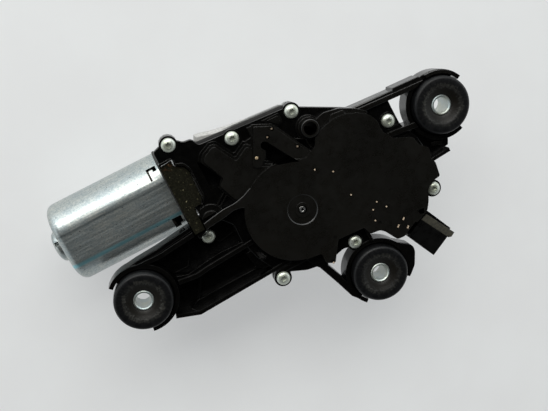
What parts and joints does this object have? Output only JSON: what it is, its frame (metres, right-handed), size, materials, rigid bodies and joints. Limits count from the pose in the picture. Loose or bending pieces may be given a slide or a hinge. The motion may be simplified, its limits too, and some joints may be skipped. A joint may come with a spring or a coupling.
{
  "type": "rear wiper gear motor",
  "caption": "Rear-window wiper gear motor: flattened steel motor can, worm gearbox under a black ribbed cover with rubber-mounted arms, side connector and a knurled output spindle.",
  "frame": {"origin": "centre of the output spindle's threaded end face, which is the lowest point", "axes": "+Z along the spindle towards the plastic cover; the motor can lies along -X, parallel to the X axis"},
  "size_m": [0.2422, 0.1405, 0.0712],
  "materials": {
    "zinc_steel": "zinc plated sheet, dull",
    "bright_steel": "machined",
    "cast_aluminium": "as cast",
    "black_plastic": "moulded, satin",
    "dusty_plastic": "dusty, matt",
    "connector_plastic": "moulded, dusty",
    "grommet_rubber": "worn, matt",
    "seal_rubber": "matt",
    "bush_zinc": "zinc plated, bluish",
    "screw_zinc": "zinc plated, yellowish",
    "sintered_bronze": "sintered",
    "copper": "enamelled wire and bars",
    "ferrite": "ground, matt",
    "core_iron": "stacked sheets",
    "nylon": "natural",
    "brown_plastic": "moulded",
    "carbon": "pressed carbon",
    "board": "green circuit board",
    "terminal_tin": "tinned blade"
  },
  "bodies": {
    "housing": {"motor_can": "zinc_steel", "rear_bearing": "sintered_bronze", "magnet_front": "ferrite", "magnet_rear": "ferrite", "brush_holder": "brown_plastic", "brush_spring_upper": "bright_steel", "brush_spring_lower": "bright_steel", "worm_bearing": "sintered_bronze", "thrust_button": "bright_steel", "wheel_axle": "bright_steel", "spindle_bearing_lower": "sintered_bronze", "spindle_bearing_upper": "sintered_bronze", "spindle_seal": "seal_rubber", "cover_bracket": "black_plastic", "gear_housing": "cast_aluminium", "cover_gasket": "seal_rubber", "brush_cover": "dusty_plastic", "hub_pin": "bright_steel", "circuit_board": "board", "connector_shell": "connector_plastic", "terminal_1": "terminal_tin", "terminal_2": "terminal_tin", "terminal_3": "terminal_tin", "terminal_4": "terminal_tin", "grommet_1": "grommet_rubber", "grommet_2": "grommet_rubber", "grommet_3": "grommet_rubber", "bush_1": "bush_zinc", "bush_2": "bush_zinc", "bush_3": "bush_zinc", "cover_screw_1": "screw_zinc", "cover_screw_2": "screw_zinc", "cover_screw_3": "screw_zinc", "cover_screw_4": "screw_zinc", "cover_screw_5": "screw_zinc", "cover_screw_6": "screw_zinc", "cover_screw_7": "screw_zinc", "cover_screw_8": "screw_zinc"},
    "armature": {"armature_shaft": "bright_steel", "armature_core": "core_iron", "winding_rear": "copper", "winding_front": "copper", "commutator": "copper"},
    "wheel": {"worm_wheel": "nylon", "crank_pin": "bright_steel"},
    "output": {"output_spindle": "bright_steel", "output_lever": "zinc_steel", "lever_pin": "bright_steel", "retaining_ring": "bright_steel"},
    "link": {"drive_link": "zinc_steel"},
    "upper_brush": {"brush_upper": "carbon"},
    "lower_brush": {"brush_lower": "carbon"}
  },
  "joints": [
    {"name": "armature_spin", "type": "hinge", "parent": "housing", "child": "armature", "pos_m": [0, 0.0357, 0.039], "axis": [1, 0, 0], "continuous": true},
    {"name": "wheel_spin", "type": "hinge", "parent": "housing", "child": "wheel", "pos_m": [-0.048, -0.002, 0.039], "axis": [0, 0, 1], "continuous": true},
    {"name": "spindle_swing", "type": "hinge", "parent": "housing", "child": "output", "pos_m": [0, 0, 0.045], "axis": [0, 0, 1], "range_deg": [-45, 45]},
    {"name": "link_swing", "type": "hinge", "parent": "output", "child": "link", "pos_m": [0, -0.014, 0.05], "axis": [0, 0, 1], "range_deg": [-45, 45]},
    {"name": "brush_upper_slide", "type": "slide", "parent": "housing", "child": "upper_brush", "axis": [0, 0, 1], "range_m": [0, 0.0015], "stiffness_N_per_m": 200, "springref_m": -0.005, "deforming": ["brush_spring_upper"]},
    {"name": "brush_lower_slide", "type": "slide", "parent": "housing", "child": "lower_brush", "axis": [0, 0, -1], "range_m": [0, 0.0015], "stiffness_N_per_m": 200, "springref_m": -0.005, "deforming": ["brush_spring_lower"]}
  ],
  "couplings": [
    {"joint": "wheel_spin", "follows": "armature_spin", "ratio": 0.02},
    {"joint": "link_swing", "follows": "spindle_swing", "ratio": -1}
  ]
}
